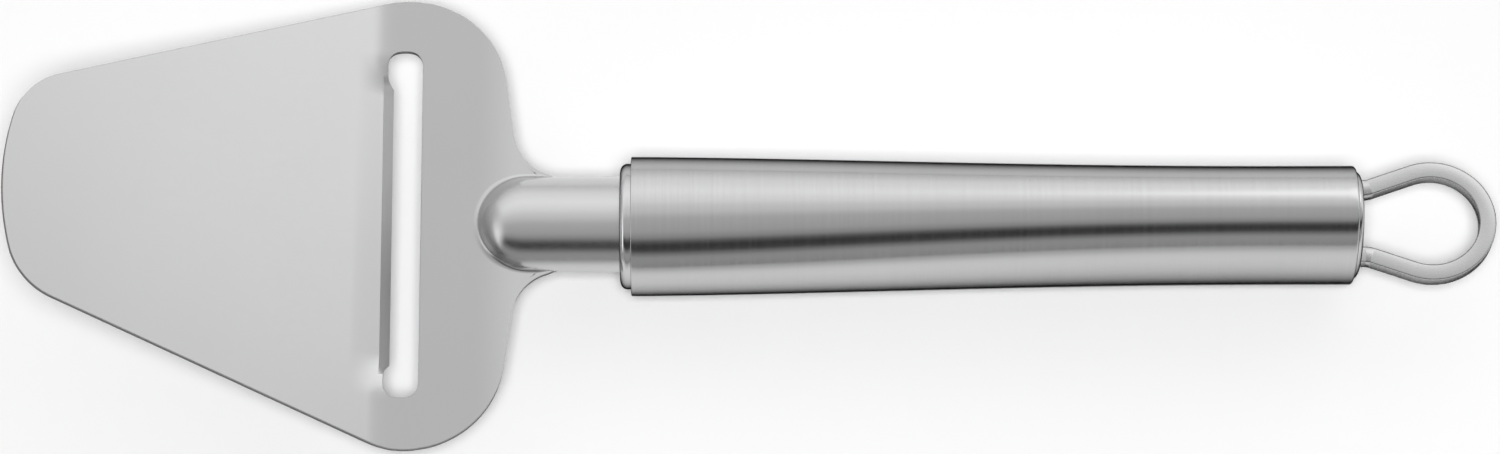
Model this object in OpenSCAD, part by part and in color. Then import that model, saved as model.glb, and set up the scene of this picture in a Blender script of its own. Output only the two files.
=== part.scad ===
// Cheese slicer: a formed sheet blade on a hollow pressed handle, with a hanging loop.
// Millimetres. X runs from the blade's tip to the loop, Z is up, and the origin is at
// the bottom centre of the whole slicer.

/* [Blade sheet] */
// Thickness of the blade's sheet
sheet_t = 1; // [0.8:0.1:1.4]
// Width of the blade at its widest
blade_w = 76.2; // [70:0.2:84]
// Length of the front plate, from the middle of the fold to the tip
front_l = 63.6; // [56:0.2:74]
// Angle that each side of the front plate draws in
side_angle = 19.2; // [14:0.2:22]
// Radius of the shallow bow across the tip
tip_bow_r = 41; // [32:1:70]
// Radius of the two corners at the tip
tip_corner_r = 11.2; // [7:0.2:13]
// Radius of the two widest corners
ear_r = 16; // [12:0.5:18]
// Length from the middle of the fold to the shoulders, on the middle line
shoulder_l = 23; // [21:0.1:27]
// Angle by which the shoulders lean away from the handle
shoulder_angle = 8; // [5:0.5:11]
// Radius of the outline between shoulder and neck
neck_fillet_r = 7.8; // [5:0.2:9]
// Angle that the front plate rises by
fold_angle = 21.7; // [15:0.1:27]
// Radius of the fold, on the middle of the sheet
fold_r = 15; // [10:0.5:20]
// Height of the rear plate above the handle's axis
plate_rise = 1.55; // [0.5:0.05:3]

/* [Slot and cutting lip] */
// Length of the slot over its round ends
slot_l = 58.8; // [50:0.2:62]
// Diameter of the slot's round ends
slot_end_d = 5.8; // [5.2:0.1:6.4]
// Distance from the middle of the fold to the slot's rear edge
slot_back = 5.95; // [5.6:0.05:7]
// Gap between the cutting edge and the slot's rear edge
slot_gap = 4.65; // [4.4:0.05:5]
// Length of the straight cutting edge
lip_l = 46.8; // [42:0.2:48]
// Distance from the cutting edge to where the lip starts to turn down
lip_depth = 7; // [5:0.5:9]
// Extra angle that the lip turns down by
lip_angle = 7; // [3:0.5:10]
// Width of the ground bevel
bevel_w = 1.7; // [1.2:0.1:2]
// Thickness left at the cutting edge
edge_t = 0.15; // [0.1:0.05:0.3]

/* [Neck] */
// Outer radius of the half-round neck
neck_r = 8.6; // [8.2:0.1:9.2]
// Depth of the neck's own axis below the handle's axis
neck_drop = 1.5; // [1:0.1:2.5]
// Angle that the neck wraps round its axis
neck_wrap = 142; // [130:1:150]
// Radius at the foot of the raised neck
foot_r = 1.2; // [0.9:0.1:1.8]
// Distance from the handle to the centre of the neck's round end
neck_l = 17; // [15:0.1:20]
// Length of the neck that is hidden in the handle
tang_l = 12; // [8:0.5:20]

/* [Handle tube] */
// Length of the handle's tube
handle_l = 116.9; // [95:0.1:140]
// Diameter of the tube at its round front end
handle_d = 22.6; // [22:0.1:26]
// Width of the tube where it is pressed to an upright oval
butt_w = 18.4; // [16:0.1:21]
// Length over which the round tube turns oval
press_l = 106; // [70:1:115]
// Thickness of the tube's wall
tube_t = 0.8; // [0.6:0.1:1]
// Bevel on the tube's front rim
front_rim = 0.2; // [0.1:0.05:0.5]
// Bevel on the tube's rear rim
rear_rim = 0.45; // [0.1:0.05:0.6]

/* [Front cap] */
// Diameter of the collar in front of the tube
collar_d = 20.4; // [19.6:0.1:20.8]
// Length of the collar in front of the tube
collar_l = 1.8; // [1.2:0.1:3]
// Rounding of the collar's front edge
collar_round = 1.2; // [0.4:0.1:1.2]
// Length of the skirt inside the tube, for both caps
skirt_l = 5; // [3:0.5:8]
// Wall of both caps
cap_t = 1.2; // [0.9:0.1:1.5]

/* [Rear cap] */
// Height by which the rear cap stands out of the tube
rear_cap_out = 0.85; // [0.6:0.05:1.6]
// Width of the rear cap's domed edge
rear_cap_dome = 1; // [0.6:0.1:1.5]

/* [Hanging loop] */
// Radius of the loop's rear end, on the middle of the bar
loop_r = 8.4; // [7.5:0.1:11]
// Radius of the loop's two sides, on the middle of the bar
loop_side_r = 9.4; // [7.6:0.1:13]
// Distance from the tube's rear end to the centre of the loop's rear end
loop_l = 13.3; // [11:0.1:18]
// Width of the bar
bar_w = 2.7; // [2:0.1:3.2]
// Height of the bar
bar_h = 3; // [2:0.1:4]
// Bevel on the bar's four edges
bar_bevel = 0.3; // [0.15:0.05:0.5]
// Angle at which the two limbs spread
limb_angle = 19.2; // [12:0.2:24]
// Distance between the two feet, on the middle of the bar
feet_gap = 11.3; // [8:0.1:11.4]
// Radius of the bend at each foot
foot_bend_r = 3.5; // [2.5:0.5:6]
// Height of the loop above the handle's axis
loop_rise = 0.9; // [0:0.1:1.5]

/* [Fits] */
// Clearance between pieces that are welded or pushed together
fit = 0.1; // [0.05:0.01:0.15]

/* [Hidden] */

$fn = 96;
round_steps = 56;      // facets round the pressed tube
press_steps = 14;      // rings along the pressed tube
inner_lines = 8;       // mesh lines over half of the neck
sink_l = 6;            // length over which the plate sinks to the neck's edge
fade_l = 4.5;          // length over which the fillet at the neck's foot fades out
least_foot = 0.02;     // radius that is left of that fillet
loop_steps = 12;       // facets along each side of the loop
lip_knee = 1.8;        // how softly the lip turns down
lip_run_in = 1.5;      // the lip starts to rise to the fold this far inside its straight edge
lip_run_out = 1;       // and has done so this far beyond the slot
slot_power = 2.5;      // the slot's ends are a little squarer than a half circle, which is 2
row_bow = 1.2;         // mesh lines beside the neck bow towards the tip, to stay inside the outline
foot_in = 1;           // length of the loop's feet behind the rear cap's wall

butt_a = butt_w / 2;
butt_b = sqrt(2 * pow(handle_d / 2, 2) - pow(butt_a, 2));   // pressing keeps the girth
neck_mid_r = neck_r - sheet_t / 2;
plate_over_neck = plate_rise + neck_drop;
slot_end_r = slot_end_d / 2;

// The fold: middle surface, with u along the sheet from the middle of the fold to the tip
fold_half = fold_angle / 2;
fold_arc = fold_r * fold_half * PI / 180;
fold_tan = fold_r * tan(fold_half);
fold_mid_x = -neck_l - shoulder_l;              // x of the middle of the fold
fold_x = fold_mid_x + fold_arc - fold_tan;      // x where both plates would meet

function plate_x(u) =
    u < -fold_arc ? fold_mid_x - u
    : u > fold_arc ? fold_x - (fold_tan + u - fold_arc) * cos(fold_angle)
    : fold_x + fold_tan - fold_r * sin(u * 180 / PI / fold_r + fold_half);
function plate_z(u) = plate_rise + (
    u < -fold_arc ? 0
    : u > fold_arc ? (fold_tan + u - fold_arc) * sin(fold_angle)
    : fold_r * (1 - cos(u * 180 / PI / fold_r + fold_half)));

// The raised neck: a half-round with a ball end, and a fillet at its foot. Towards the handle
// the plate beside it sinks to the neck's own edge, and the fillet fades out.
neck_half = neck_mid_r * sin(neck_wrap / 2);
neck_sink = plate_over_neck - neck_mid_r * cos(neck_wrap / 2);
tuck = sheet_t / 2 * sin(neck_wrap / 2);        // the neck's outer edge stands out by this much

function foot_end(rise, r) = sqrt(pow(neck_mid_r + r, 2) - pow(rise + r, 2));
foot_out = foot_end(plate_over_neck, foot_r);
function raised(d, sink, r) =
    let (rise = plate_over_neck - sink,
         out = foot_end(rise, r),
         crest = neck_mid_r / (neck_mid_r + r) * out)
    d >= out ? -sink
    : d >= crest ? r - sqrt(pow(r, 2) - pow(out - d, 2)) - sink
    : sqrt(pow(neck_mid_r, 2) - pow(d, 2)) - plate_over_neck;
function ease(t) = t <= 0 ? 0 : t >= 1 ? 1 : t * t * (3 - 2 * t);

// The flat outline: tip bow, tip corner, side, ear, shoulder and neck fillet
side_n = [sin(side_angle), cos(side_angle)];
ear_v = blade_w / 2 - ear_r;
ear_c = [-shoulder_l + (ear_r + sin(shoulder_angle) * ear_v) / cos(shoulder_angle), ear_v];
side_d = side_n * ear_c + ear_r;
bow_c = [front_l - tip_bow_r, 0];
corner_from = 90 - side_angle
    - acos((side_d - tip_corner_r - side_n * bow_c) / (tip_bow_r - tip_corner_r));
corner_to = 90 - side_angle;
corner_c = bow_c + (tip_bow_r - tip_corner_r) * [cos(corner_from), sin(corner_from)];
neck_c = [-shoulder_l - (neck_fillet_r - sin(shoulder_angle) * (neck_half + tuck + neck_fillet_r))
    / cos(shoulder_angle), neck_half + tuck + neck_fillet_r];

function on_circle(c, r, a) = c + r * [cos(a), sin(a)];
function half_width(u) =
    u > ear_c[0] + ear_r * sin(side_angle) ? (side_d - u * side_n[0]) / side_n[1]
    : ear_c[1] + sqrt(pow(ear_r, 2) - pow(u - ear_c[0], 2));

// The lip: in front of the slot the sheet runs straight on and turns further down
slot_u = slot_end_r - slot_back;                // centre of the slot's round ends
slot_y = slot_l / 2 - slot_end_r;
function slot_reach(share) = slot_end_r * pow(1 - pow(share, slot_power), 1 / slot_power);
function slot_side(a) = slot_end_r * pow(sin(a), 2 / slot_power);
edge_u = slot_gap - slot_back;                  // the cutting edge
notch_y = (lip_l / 2 + slot_y * 2) / 3;         // where the lip's corner meets the round end
lip_slope = tan(fold_angle + lip_angle) - tan(fold_angle);

function lip_share(y) =
    1 - ease((abs(y) - lip_l / 2 + lip_run_in) / (slot_l / 2 - lip_l / 2 + lip_run_in + lip_run_out));
function lip_drop(u) =
    let (run = edge_u + lip_depth - u,
         straight = plate_z(u) - plate_rise - (fold_x - plate_x(u)) * tan(fold_angle),
         turned = run <= 0 ? 0 : lip_slope * run * run / (run + lip_knee))
    (straight + turned) * (1 - ease((edge_u - u) / slot_gap));

// Middle surface of the whole blade
function mid_point(u, y) =
    let (d = norm([y, max(0, u + shoulder_l)]),
         sink = neck_sink * ease((neck_c[0] + fade_l + sink_l - u) / sink_l),
         r = max(least_foot, foot_r * (1 - ease((neck_c[0] + fade_l - u) / fade_l))),
         neck = u > 0 ? 0 : raised(d, sink, r))
    [plate_x(u), y, plate_z(u) + neck - lip_share(y) * (u > -slot_back ? lip_drop(u) : 0)];
function normal_at(u, y) =
    let (s = 0.02,
         along = mid_point(u + s, y) - mid_point(u - s, y),
         across = mid_point(u, y + s) - mid_point(u, y - s),
         n = cross(across, along))
    n / norm(n) * sign(n[2]);

// Mesh stations from tip to tang: [u at the middle, u at the outline, half width, foot, kind]
// kind: 0 plain, 1 bowed tip, 2 and above the slot's stations
tip_steps = 6;
slot_steps = 4;
nose_angles = [10, 22, 34, 46, 58, 70, 80, 90];
tip_stations = [for (k = [0:tip_steps])
    let (p = on_circle(corner_c, tip_corner_r, corner_from + (corner_to - corner_from) * k / tip_steps),
         sag = (front_l - on_circle(corner_c, tip_corner_r, corner_from)[0]) * (1 - k / tip_steps))
    [p[0] + sag, p[0], p[1], min(foot_out, 0.75 * p[1]), 1]];
lip_us = [for (k = [5:-1:1]) edge_u + bevel_w + (lip_depth + lip_knee - bevel_w) * k / 5];
plain_us = concat([front_l * 0.5], lip_us, [edge_u + bevel_w]);
plain_stations = [for (u = plain_us) [u, u, half_width(u), foot_out, 0]];
slot_stations = [for (m = [0:slot_steps])
    let (a = 45 + 90 * m / slot_steps,
         u = slot_u + sign(cos(a)) * slot_reach(slot_side(a) / slot_end_r))
    [u, u, half_width(u), foot_out, 2 + m]];
ear_from = acos((-slot_back - ear_c[0]) / ear_r);
ear_to = 180 - shoulder_angle;
function ear_station(mid, foot, t) =
    let (p = on_circle(ear_c, ear_r, ear_from + (ear_to - ear_from) * t)) [mid, p[0], p[1], foot, 0];
nose_u = foot_out - shoulder_l;
nose_stations = [for (k = [0:len(nose_angles) - 2])
    ear_station(-shoulder_l + foot_out * cos(nose_angles[k]), foot_out * sin(nose_angles[k]),
        0.3 + 0.7 * k / (len(nose_angles) - 2))];
fillet_steps = 6;
fillet_stations = [for (k = [0:fillet_steps])
    let (p = on_circle(neck_c, neck_fillet_r, -shoulder_angle - (90 - shoulder_angle) * k / fillet_steps),
         mid = -shoulder_l + (neck_c[0] + shoulder_l) * k / fillet_steps,
         w = p[1] - tuck * ease((neck_c[0] + fade_l / 2 - p[0]) * 2 / fade_l))
    [mid, p[0], w, min(foot_out, 0.8 * w), 0]];
neck_end = fold_mid_x - tang_l;
neck_stations = [for (u = [(neck_c[0] + neck_end) / 2, neck_end]) [u, u, neck_half, 0.8 * neck_half, 0]];
stations = concat(tip_stations, plain_stations, slot_stations,
    [ear_station((nose_u - slot_back) / 2, foot_out * 0.6, 0.15)],
    nose_stations, fillet_stations, neck_stations);
first_slot = len(tip_stations) + len(plain_stations);
last_slot = first_slot + slot_steps;

// Mesh lines from the middle line to the outline, as distances where the blade is wide
outer_ys = [(foot_out * 2 + lip_l / 2) / 3, lip_l / 2 - 2.5 * lip_run_in, lip_l / 2 - lip_run_in, lip_l / 2,
    (lip_l / 2 + notch_y) / 2, notch_y, slot_y, slot_y + slot_side(22.5), slot_y + slot_side(45)];
slot_line = inner_lines + len(outer_ys);
edge_lines = 3;
last_line = slot_line + edge_lines;
keep_w = slot_l / 2 + 3.5;

function line_y(st, j) =
    let (w = st[2], foot = st[3], slot_a = 45 + 90 * (st[4] - 2) / slot_steps,
         shrink = min(1, (w - foot) / (keep_w - foot_out)))
    j <= inner_lines ? foot * sin(90 * j / inner_lines)
    : j < slot_line ? foot + (outer_ys[j - inner_lines - 1] - foot_out) * shrink
    : let (held = st[4] >= 2 ? slot_y + slot_side(slot_a)
               : foot + (outer_ys[len(outer_ys) - 1] - foot_out) * shrink)
      held + (w - held) * (j - slot_line) / edge_lines;

function slot_front(y) =
    y <= lip_l / 2 ? edge_u
    : y < notch_y ?
        edge_u + (slot_u + slot_end_r - edge_u) * sin(90 * (y - lip_l / 2) / (notch_y - lip_l / 2))
    : y < slot_y ? slot_u + slot_end_r
    : slot_u + slot_reach((y - slot_y) / slot_end_r);
function slot_rear(y) = slot_u - slot_reach(max(0, y - slot_y) / slot_end_r);

function line_u(st, j, y) =
    let (w = st[2], foot = st[3])
    st[4] == 1 ? st[1] + (st[0] - st[1]) * (1 - pow(y / w, 2))
    : st[4] == 2 && j < slot_line ? slot_front(y)
    : st[4] == 2 + slot_steps && j < slot_line ? slot_rear(y)
    : j <= inner_lines ? st[0]
    : let (t = (y - foot) / (w - foot),
           spread = st[0] > -shoulder_l ? foot_out : -shoulder_l - neck_c[0],
           bow = row_bow * max(0, 1 - abs(st[0] + shoulder_l) / spread))
      st[0] + (st[1] - st[0]) * t + bow * 4 * t * (1 - t);

// The bevel takes metal off the top of the lip only, and runs out at the lip's corners
function bevel_cut(st, y) = st[4] != 2 ? 0
    : (sheet_t - edge_t) * (1 - ease((y - lip_l / 2) / (notch_y - lip_l / 2)));

function blade_point(i, j, side) =
    let (st = stations[i], jj = abs(j), y = line_y(st, jj), u = line_u(st, jj, y),
         n = normal_at(u, y),
         p = mid_point(u, y) + n * (side > 0 ? sheet_t / 2 - bevel_cut(st, y) : -sheet_t / 2))
    [p[0], p[1] * (j < 0 ? -1 : 1), p[2]];

rows = len(stations);
cols = 2 * last_line + 1;
function id(i, j, side) = (side > 0 ? 0 : rows * cols) + i * cols + j + last_line;
function open_cell(i, j) = i >= first_slot && i < last_slot && j >= -slot_line && j < slot_line;
function quad(a, b, c, d) = [[a, b, c], [a, c, d]];

blade_points = [for (side = [1, -1], i = [0:rows - 1], j = [-last_line:last_line]) blade_point(i, j, side)];
skin_faces = [for (i = [0:rows - 2], j = [-last_line:last_line - 1]) if (!open_cell(i, j))
    each concat(
        quad(id(i, j, 1), id(i, j + 1, 1), id(i + 1, j + 1, 1), id(i + 1, j, 1)),
        quad(id(i, j, -1), id(i + 1, j, -1), id(i + 1, j + 1, -1), id(i, j + 1, -1)))];
function wall(i, j, di, dj) =
    quad(id(i, j, -1), id(i + di, j + dj, -1), id(i + di, j + dj, 1), id(i, j, 1));
rim_faces = concat(
    [for (j = [-last_line:last_line - 1]) each concat(wall(0, j, 0, 1), wall(rows - 1, j + 1, 0, -1))],
    [for (i = [0:rows - 2]) each concat(wall(i + 1, -last_line, -1, 0), wall(i, last_line, 1, 0))]);
slot_faces = concat(
    [for (j = [-slot_line:slot_line - 1])
        each concat(wall(first_slot, j + 1, 0, -1), wall(last_slot, j, 0, 1))],
    [for (i = [first_slot:last_slot - 1])
        each concat(wall(i, -slot_line, 1, 0), wall(i + 1, slot_line, -1, 0))]);

// The tube: one girth all along, pressed from round to oval
function press_share(x) = pow(sin(90 * min(1, max(0, x / press_l))), 1.5);
function tube_a(x) = handle_d / 2 + (butt_a - handle_d / 2) * press_share(x);
function tube_b(x) = sqrt(2 * pow(handle_d / 2, 2) - pow(tube_a(x), 2));
// Its facets lie on the true oval, with a flat one underneath
function oval(x, inset) =
    let (out = 1 / cos(180 / round_steps))
    [for (k = [0:round_steps - 1]) let (a = 360 * (k + 0.5) / round_steps)
        [x, (tube_a(x) - inset) * out * cos(a), (tube_b(x) - inset) * out * sin(a)]];

// Skin over a list of rings with as many points each, closed in itself or with two ends
module ring_loft(rings, closed) {
    n = len(rings);
    m = len(rings[0]);
    skin = [for (i = [0:closed ? n - 1 : n - 2], k = [0:m - 1])
        let (i2 = (i + 1) % n, k2 = (k + 1) % m) each quad(i * m + k, i2 * m + k, i2 * m + k2, i * m + k2)];
    ends = closed ? [] : [[for (k = [0:m - 1]) k], [for (k = [m - 1:-1:0]) (n - 1) * m + k]];
    polyhedron([for (ring = rings) each ring], concat(skin, ends));
}

// Each section is [x, inset from the tube's outer surface]
module oval_loft(sections, closed) {
    ring_loft([for (s = sections) oval(s[0], s[1])], closed);
}

// Where everything goes: the tube starts at x = 0 on its own axis until the last move
tip_x = plate_x(front_l);
loop_end_x = handle_l + loop_l + loop_r + bar_w / 2;
center_x = (tip_x + loop_end_x) / 2;
module place() {
    translate([-center_x, 0, butt_b]) children();
}

module slicer_blade() {
    color("silver") place() polyhedron(blade_points, concat(skin_faces, rim_faces, slot_faces));
}

// Section of the neck, grown by the fit on both of its faces and at its two edges
module neck_section() {
    reach = 2 * neck_r;
    intersection() {
        difference() {
            circle(r = neck_r + fit);
            circle(r = neck_r - sheet_t - fit);
        }
        translate([-reach, (neck_mid_r - sheet_t) * cos(neck_wrap / 2) - fit]) square([2, 1] * reach);
    }
}

module front_cap() {
    bore_r = handle_d / 2 - tube_t;
    inner_r = collar_d / 2 - cap_t;
    profile = concat(
        [[0, -collar_l], [collar_d / 2 - collar_round, -collar_l]],
        [for (a = [-75:15:0])
            [collar_d / 2 - collar_round, collar_round - collar_l] + collar_round * [cos(a), sin(a)]],
        [[collar_d / 2, 0], [bore_r - fit, front_rim], [bore_r - fit, skirt_l],
         [inner_r, skirt_l], [inner_r, cap_t - collar_l], [0, cap_t - collar_l]]);
    color("gainsboro") place() rotate([0, 90, 0]) difference() {
        rotate_extrude() polygon(profile);
        translate([neck_drop, 0, -collar_l - cap_t]) rotate([0, 0, 90])
            linear_extrude(collar_l + 2 * cap_t) neck_section();
    }
}

module handle_tube() {
    xs = [for (k = [1:press_steps]) press_l * k / press_steps];
    outside = concat([[0, front_rim], [front_rim, 0]], [for (x = xs) [x, 0]],
        [[handle_l - rear_rim, 0], [handle_l, rear_rim]]);
    inside = [for (x = concat([handle_l], [for (k = [press_steps:-1:1]) xs[k - 1]], [0])) [x, tube_t]];
    color("darkgray") place() oval_loft(concat(outside, inside), true);
}

module rear_cap() {
    skirt = tube_t + fit;
    from = handle_l - skirt_l;
    floor_x = handle_l + rear_cap_out - cap_t;
    hole = [2 * cap_t, bar_w + 2 * fit, bar_h + 2 * fit];
    dome = [for (a = [0:22.5:90])
        [handle_l + rear_cap_out * sin(a), skirt + rear_cap_dome * (1 - cos(a))]];
    color("gainsboro") place() difference() {
        oval_loft(concat([[from, skirt]], dome), false);
        oval_loft([[from - cap_t, skirt + cap_t], [floor_x, skirt + cap_t]], false);
        for (side = [-1, 1])
            translate([floor_x + cap_t / 2, side * feet_gap / 2, loop_rise]) cube(hole, center = true);
    }
}

// Half of the loop from its rear end to its foot: the middle of the bar and its outward angle
side_x = (loop_r - loop_side_r) * cos(45);
limb_from = side_x * [1, 1] + on_circle([0, 0], loop_side_r, 90 + limb_angle);
bend_y = feet_gap / 2 + foot_bend_r * (1 - cos(limb_angle));
bend_x = limb_from[0] - (limb_from[1] - bend_y) / tan(limb_angle);
bend_c = [bend_x, bend_y] + foot_bend_r * [-sin(limb_angle), cos(limb_angle)];
loop_half = concat(
    [for (a = [0:5:45]) [on_circle([0, 0], loop_r, a), a]],
    [for (k = [1:loop_steps]) let (a = 45 + (45 + limb_angle) * k / loop_steps)
        [side_x * [1, 1] + on_circle([0, 0], loop_side_r, a), a]],
    [for (k = [0:5]) let (a = 90 + limb_angle * (1 - k / 5)) [on_circle(bend_c, -foot_bend_r, a), a]],
    [[[-loop_l - cap_t - foot_in, bend_c[1] - foot_bend_r], 90]]);

// The bar's section, with its width on the outward direction and its height on Z
function bar_ring(st, side) =
    let (w = bar_w / 2, h = bar_h / 2, c = bar_bevel)
    [for (p = [[w - c, -h], [w, c - h], [w, h - c], [w - c, h],
            [c - w, h], [-w, h - c], [-w, c - h], [c - w, -h]])
        let (q = st[0] + p[0] * [cos(st[1]), sin(st[1])]) [q[0], side * q[1], p[1]]];

module hanging_loop() {
    n = len(loop_half);
    rings = concat([for (k = [n - 1:-1:0]) bar_ring(loop_half[k], 1)],
        [for (k = [1:n - 1]) bar_ring(loop_half[k], -1)]);
    color("lightgray") place() translate([handle_l + loop_l, 0, loop_rise]) ring_loft(rings, false);
}

slicer_blade();
front_cap();
handle_tube();
rear_cap();
hanging_loop();
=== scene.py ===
import math

import bpy
import numpy as np
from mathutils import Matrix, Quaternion, Vector


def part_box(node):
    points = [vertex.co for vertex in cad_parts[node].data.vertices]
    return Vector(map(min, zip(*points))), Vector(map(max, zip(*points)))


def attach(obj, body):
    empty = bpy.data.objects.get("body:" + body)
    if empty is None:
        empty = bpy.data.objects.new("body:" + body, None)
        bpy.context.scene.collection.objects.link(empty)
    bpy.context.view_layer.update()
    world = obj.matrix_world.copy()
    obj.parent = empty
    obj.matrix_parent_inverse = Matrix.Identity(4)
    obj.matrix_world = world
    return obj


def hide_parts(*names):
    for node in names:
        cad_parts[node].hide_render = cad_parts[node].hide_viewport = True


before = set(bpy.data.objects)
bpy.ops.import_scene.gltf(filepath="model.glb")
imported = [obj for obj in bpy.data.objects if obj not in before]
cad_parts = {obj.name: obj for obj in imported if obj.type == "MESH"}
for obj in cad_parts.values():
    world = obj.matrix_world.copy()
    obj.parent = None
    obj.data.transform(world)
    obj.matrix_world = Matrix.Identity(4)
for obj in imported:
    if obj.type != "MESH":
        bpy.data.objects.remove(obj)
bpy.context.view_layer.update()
mm = 0.001

# the handle's front end and its axis in the frame, in mm: every piece is drawn from there
tubeLow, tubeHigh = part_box("handle_tube")
frontX = tubeLow.x / mm
axisZ = (tubeLow.z + tubeHigh.z) / 2 / mm
print("frame loaded, handle starts at x", round(frontX, 3), "with its axis at z", round(axisZ, 3))


# small helpers, angles in degrees

def sinD(a):
    return math.sin(math.radians(a))


def cosD(a):
    return math.cos(math.radians(a))


def tanD(a):
    return math.tan(math.radians(a))


def onCircle(centre, radius, angle):
    return (centre[0] + radius * cosD(angle), centre[1] + radius * sinD(angle))


def grey(tone):
    return (tone, tone, tone, 1.0)


def linkObject(name, data):
    obj = bpy.data.objects.new(name, data)
    bpy.context.scene.collection.objects.link(obj)
    return obj


def inFrame(points):
    return [((p[0] + frontX) * mm, p[1] * mm, (p[2] + axisZ) * mm) for p in points]


def signedVolume(points, faces):
    total = 0.0
    for face in faces:
        a = Vector(points[face[0]])
        for k in range(1, len(face) - 1):
            total += a.dot(Vector(points[face[k]]).cross(Vector(points[face[k + 1]])))
    return total / 6


def solidObject(name, points, faces):
    placed = inFrame(points)
    if signedVolume(placed, faces) < 0:
        faces = [tuple(reversed(face)) for face in faces]
    mesh = bpy.data.meshes.new(name)
    mesh.from_pydata(placed, [], faces)
    mesh.validate()
    mesh.shade_smooth()
    return linkObject(name, mesh)


def bakeModifiers(obj, name):
    # the evaluated shape becomes a plain mesh object, and the live one goes
    graph = bpy.context.evaluated_depsgraph_get()
    mesh = bpy.data.meshes.new_from_object(obj.evaluated_get(graph), depsgraph=graph)
    mesh.name = name
    bpy.data.objects.remove(obj)
    return linkObject(name, mesh)


def weightNormals(obj):
    # wide faces keep their own direction, so only the rounded edges shade round
    steady = obj.modifiers.new("steadyNormals", "WEIGHTED_NORMAL")
    steady.keep_sharp = True
    steady.weight = 100
    return bakeModifiers(obj, obj.name)


# node helpers

def addNode(tree, kind, settings=None, inputs=None):
    made = tree.nodes.new(kind)
    for key, value in (settings or {}).items():
        setattr(made, key, value)
    for key, value in (inputs or {}).items():
        if isinstance(value, bpy.types.NodeSocket):
            tree.links.new(value, made.inputs[key])
        else:
            made.inputs[key].default_value = value
    return made


def calc(tree, operation, a, b=None, c=None):
    parts = {k: v for k, v in enumerate((a, b, c)) if v is not None}
    return addNode(tree, "ShaderNodeMath", {"operation": operation}, parts).outputs[0]


def mapRange(tree, value, source, target, soft=False):
    settings = {"interpolation_type": "SMOOTHSTEP"} if soft else {}
    return addNode(tree, "ShaderNodeMapRange", settings, {
        "Value": value, "From Min": source[0], "From Max": source[1],
        "To Min": target[0], "To Max": target[1]}).outputs[0]


def splitXYZ(tree, vector):
    return addNode(tree, "ShaderNodeSeparateXYZ", {}, {0: vector}).outputs


# steels: what they share, then one look for each

brushing = {
    "lineNoise": (3.0, 0.6), "cloudNoise": (2.0, 0.5), "hairNoise": (1.0, 0.5),  # detail, roughness
    "lineSpan": (0.25, 0.75), "lineDepth": 0.00002,                              # depth in metres
    "hairScale": (60.0, 2600.0, 2600.0), "hairTurn": 0.6, "hairSpan": (0.7, 0.78)}


def surfaceNoise(tree, place, scale, detail, roughness, turn=0.0):
    lay = addNode(tree, "ShaderNodeMapping", {}, {
        "Vector": place, "Rotation": (0.0, 0.0, turn), "Scale": scale})
    noise = addNode(tree, "ShaderNodeTexNoise", {}, {
        "Vector": lay.outputs[0], "Scale": 1.0, "Detail": detail, "Roughness": roughness})
    return noise.outputs[0]


def aroundOne(tree, noise, amount):
    return calc(tree, "MULTIPLY_ADD", noise, amount, 1 - amount / 2)


def steel(name, look):
    b = brushing
    mat = bpy.data.materials.new(name)
    mat.use_nodes = True
    tree = mat.node_tree
    shader = tree.nodes["Principled BSDF"]
    shader.inputs["Metallic"].default_value = 1.0
    shader.inputs["Anisotropic"].default_value = look["stretch"]
    # painted shade: a grazing tint below white darkens the steel's reflections towards its
    # outlines, standing in for the darker surroundings those edges mirror
    shader.inputs["Specular Tint"].default_value = grey(look["grazing"])
    place = addNode(tree, "ShaderNodeTexCoord").outputs["Object"]

    # brush lines: fine across the stroke, long along it
    lines = surfaceNoise(tree, place, look["strokes"], *b["lineNoise"])
    # slow changes of tone from the polishing wheel
    cloud = surfaceNoise(tree, place, (look["cloudScale"],) * 3, *b["cloudNoise"])
    # a few long hairline scratches
    hair = surfaceNoise(tree, place, b["hairScale"], *b["hairNoise"], b["hairTurn"])
    scratch = mapRange(tree, hair, b["hairSpan"], (0.0, 1.0))

    rough = mapRange(tree, lines, b["lineSpan"], look["rough"])
    roughSum = calc(tree, "MULTIPLY_ADD", scratch, look["hairline"], rough)
    tree.links.new(roughSum, shader.inputs["Roughness"])

    tone = calc(tree, "MULTIPLY", aroundOne(tree, lines, look["lineTone"]),
                aroundOne(tree, cloud, look["cloudTone"]))
    if "neckPaintedLight" in look:
        # painted highlight: the neck's steel is made brighter than the plates of the same sheet,
        # standing in for the brighter light that the neck mirrors
        along = splitXYZ(tree, place)[0]
        neck = mapRange(tree, along, look["neckPaintedFrom"], (1.0, look["neckPaintedLight"]), soft=True)
        tone = calc(tree, "MULTIPLY", tone, neck)
    # sockets 6 and 7 are the two colours, and output 2 is their product
    shade = addNode(tree, "ShaderNodeMix", {"data_type": "RGBA", "blend_type": "MULTIPLY"}, {
        0: 1.0, 6: (*look["colour"], 1.0), 7: tone})
    tree.links.new(shade.outputs[2], shader.inputs["Base Color"])

    bump = addNode(tree, "ShaderNodeBump", {}, {
        "Height": lines, "Strength": look["bump"], "Distance": b["lineDepth"]})
    tree.links.new(bump.outputs[0], shader.inputs["Normal"])
    if look["stretch"] > 0:
        run = addNode(tree, "ShaderNodeTangent", {
            "direction_type": "RADIAL", "axis": look["turnAxis"]})
        tree.links.new(run.outputs[0], shader.inputs["Tangent"])
        shader.inputs["Anisotropic Rotation"].default_value = look["turn"]
    return mat


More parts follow.
